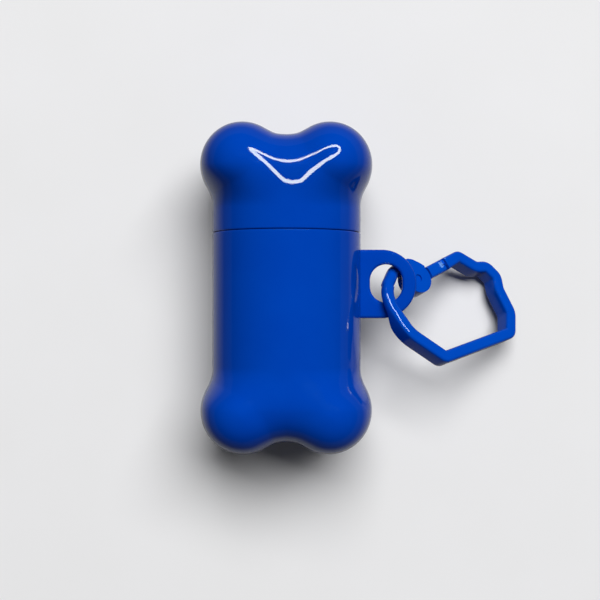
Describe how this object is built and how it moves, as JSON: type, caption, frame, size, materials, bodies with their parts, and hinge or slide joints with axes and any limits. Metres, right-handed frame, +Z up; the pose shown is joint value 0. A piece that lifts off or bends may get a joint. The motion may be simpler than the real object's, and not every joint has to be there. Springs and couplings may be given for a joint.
{
  "type": "dog waste bag dispenser",
  "caption": "Bone-shaped two-part plastic holder for a roll of dog waste bags, with a side lug and a spring-gated carry ring.",
  "frame": {"origin": "on the surface it lies on, straight below the middle of the bone's length, on the bone's own axis and not on the middle of the box with the ring", "axes": "+X across the bone from its axis towards the lug and ring, +Y along the bone from the body towards the cap, +Z up from the surface it lies on"},
  "size_m": [0.0836, 0.0838, 0.0404],
  "materials": {
    "shell_plastic": "gloss",
    "ring_plastic": "gloss",
    "bag_film": "satin",
    "card": "matte",
    "steel": "satin"
  },
  "bodies": {
    "shell": {"body_shell": "shell_plastic"},
    "cap": {"cap_shell": "shell_plastic"},
    "roll": {"bag_roll": "bag_film", "roll_core": "card"},
    "tail": {"bag_tail": "bag_film"},
    "ring": {"ring_frame": "ring_plastic", "gate_pin": "ring_plastic", "gate_spring": "steel"},
    "gate": {"ring_gate": "ring_plastic"}
  },
  "joints": [
    {"name": "cap_pull", "type": "slide", "parent": "shell", "child": "cap", "axis": [0, 1, 0], "range_m": [0, 0.04]},
    {"name": "roll_turn", "type": "hinge", "parent": "shell", "child": "roll", "pos_m": [0, 0, 0.0181], "axis": [0, -1, 0], "range_deg": [0, 36]},
    {"name": "bag_pull", "type": "slide", "parent": "shell", "child": "tail", "axis": [-0.6939, 0, -0.72], "range_m": [0, 0.009]},
    {"name": "ring_swing", "type": "hinge", "parent": "shell", "child": "ring", "pos_m": [0.0256, 0.0012, 0.0208], "axis": [-0.5736, 0.8192, 0], "range_deg": [0, 85]},
    {"name": "gate_open", "type": "hinge", "parent": "ring", "child": "gate", "pos_m": [0.03345, 0.00197, 0.01497], "axis": [-0.4722, -0.3306, -0.8171], "range_deg": [0, 24], "stiffness_Nm_per_rad": 0.0008, "springref_deg": -17.19, "deforming": ["gate_spring"]}
  ],
  "couplings": [
    {"joint": "bag_pull", "follows": "roll_turn", "m_per_rad": 0.0143}
  ]
}
